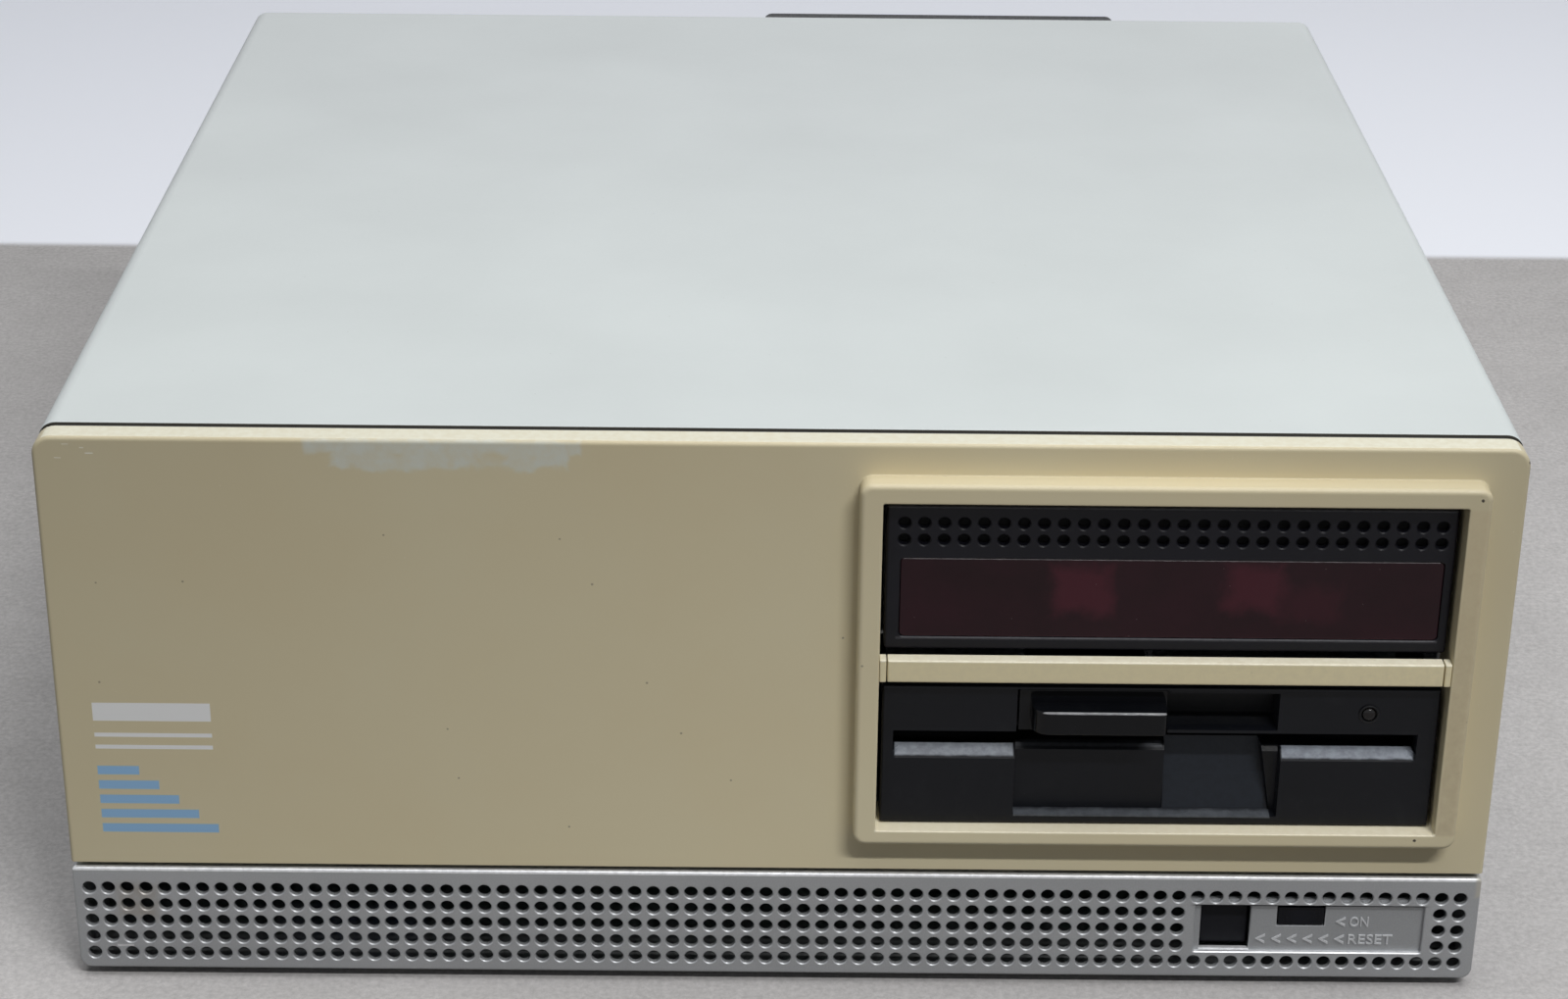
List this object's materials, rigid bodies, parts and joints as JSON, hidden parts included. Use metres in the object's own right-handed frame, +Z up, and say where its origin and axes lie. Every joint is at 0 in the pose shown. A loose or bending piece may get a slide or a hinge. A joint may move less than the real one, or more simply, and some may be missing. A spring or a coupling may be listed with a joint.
{
  "type": "vintage desktop computer",
  "caption": "Low desktop computer case with a sliding cover, perforated lower grille, hard disk and floppy drive at the right, power supply, boards and cards inside.",
  "frame": {"origin": "on the ground under the middle of the whole machine, at the feet's underside", "axes": "+Z up, -Y towards the front panel, +X to the right as seen from the front"},
  "size_m": [0.38, 0.398, 0.1615],
  "materials": {
    "cover_paint": "fine textured satin paint",
    "bezel_plastic": "aged, lightly textured moulding",
    "grille_metal": "silver paint",
    "steel_sheet": "zinc plated",
    "machined_steel": "turned",
    "black_plastic": "fine texture",
    "disk_plastic": "fine texture",
    "gloss_black": "polished",
    "smoked_window": "smoked red, polished",
    "lamp_lens": "diffusing",
    "rocker_plastic": "polished",
    "rubber": "matte",
    "casting": "cast",
    "platter": "polished and coated",
    "circuit_board": "lacquered",
    "battery_wrap": "shrink wrap",
    "lead_grey": "ribbed"
  },
  "bodies": {
    "chassis": {"front_bezel": "bezel_plastic", "bay_divider": "bezel_plastic", "front_grille": "grille_metal", "base_pan": "steel_sheet", "chassis_deck": "steel_sheet", "rear_panel": "steel_sheet", "drive_cage": "steel_sheet", "supply_case": "steel_sheet", "supply_cover": "steel_sheet", "slot_bracket_1": "steel_sheet", "slot_bracket_2": "steel_sheet", "slot_bracket_3": "steel_sheet", "slot_bracket_4": "steel_sheet", "slot_bracket_5": "steel_sheet", "slot_bracket_6": "steel_sheet", "slot_bracket_7": "steel_sheet", "head_rail_1": "machined_steel", "head_rail_2": "machined_steel", "head_motor": "machined_steel", "reset_spring": "machined_steel", "fan_hood": "black_plastic", "floppy_bezel": "black_plastic", "speaker": "black_plastic", "fan_frame": "black_plastic", "power_inlet": "black_plastic", "power_outlet": "black_plastic", "disk_bezel": "disk_plastic", "disk_window": "smoked_window", "floppy_lamp": "lamp_lens", "power_lamp": "lamp_lens", "foot_1": "rubber", "foot_2": "rubber", "foot_3": "rubber", "foot_4": "rubber", "floppy_frame": "casting", "disk_base": "casting", "disk_lid": "casting", "main_board": "circuit_board", "bus_board": "circuit_board", "card_1": "circuit_board", "card_2": "circuit_board", "supply_board": "circuit_board", "floppy_board": "circuit_board", "disk_board": "circuit_board", "indicator_board": "circuit_board", "battery": "battery_wrap", "disk_ribbon": "lead_grey", "floppy_ribbon": "lead_grey"},
    "cover": {"top_cover": "cover_paint"},
    "floppy_lever": {"floppy_latch": "gloss_black", "clamp_arm": "casting"},
    "cone": {"clamp_cone": "black_plastic"},
    "spindle": {"floppy_spindle": "machined_steel"},
    "carriage": {"head_carriage": "black_plastic"},
    "pulley": {"head_pulley": "machined_steel"},
    "platters": {"disk_platters": "platter"},
    "actuator": {"disk_arm": "machined_steel"},
    "rotor": {"fan_rotor": "black_plastic"},
    "rocker": {"power_rocker": "rocker_plastic"},
    "button": {"reset_button": "black_plastic"}
  },
  "joints": [
    {"name": "cover_slide", "type": "slide", "parent": "chassis", "child": "cover", "axis": [0, 1, 0], "range_m": [0, 0.385]},
    {"name": "lever_turn", "type": "hinge", "parent": "chassis", "child": "floppy_lever", "pos_m": [0.1, -0.04, 0.079], "axis": [1, 0, 0], "range_deg": [0, 4.3]},
    {"name": "cone_spin", "type": "hinge", "parent": "floppy_lever", "child": "cone", "pos_m": [0.1, -0.115, 0.085], "axis": [0, 0, 1], "continuous": true},
    {"name": "spindle_spin", "type": "hinge", "parent": "chassis", "child": "spindle", "pos_m": [0.1, -0.115, 0.065], "axis": [0, 0, 1], "continuous": true},
    {"name": "head_slide", "type": "slide", "parent": "chassis", "child": "carriage", "axis": [0, -1, 0], "range_m": [0, 0.0206]},
    {"name": "pulley_turn", "type": "hinge", "parent": "chassis", "child": "pulley", "pos_m": [0.12, -0.034, 0.0765], "axis": [-1, 0, 0], "range_deg": [0, 182]},
    {"name": "platter_spin", "type": "hinge", "parent": "chassis", "child": "platters", "pos_m": [0.1, -0.112, 0.12], "axis": [0, 0, 1], "continuous": true},
    {"name": "arm_swing", "type": "hinge", "parent": "chassis", "child": "actuator", "pos_m": [0.15, -0.022, 0.12], "axis": [0, 0, 1], "range_deg": [0, 27.5]},
    {"name": "fan_spin", "type": "hinge", "parent": "chassis", "child": "rotor", "pos_m": [0.0565, 0.17, 0.0955], "axis": [0, 1, 0], "continuous": true},
    {"name": "rocker_turn", "type": "hinge", "parent": "chassis", "child": "rocker", "pos_m": [0.153, 0.1791, 0.1305], "axis": [1, 0, 0], "range_deg": [0, 14]},
    {"name": "reset_press", "type": "slide", "parent": "chassis", "child": "button", "axis": [0, 1, 0], "range_m": [0, 0.002], "stiffness_N_per_m": 400, "springref_m": -0.001, "deforming": ["reset_spring"]}
  ],
  "couplings": [
    {"joint": "pulley_turn", "follows": "head_slide", "rad_per_m": 153.85}
  ]
}
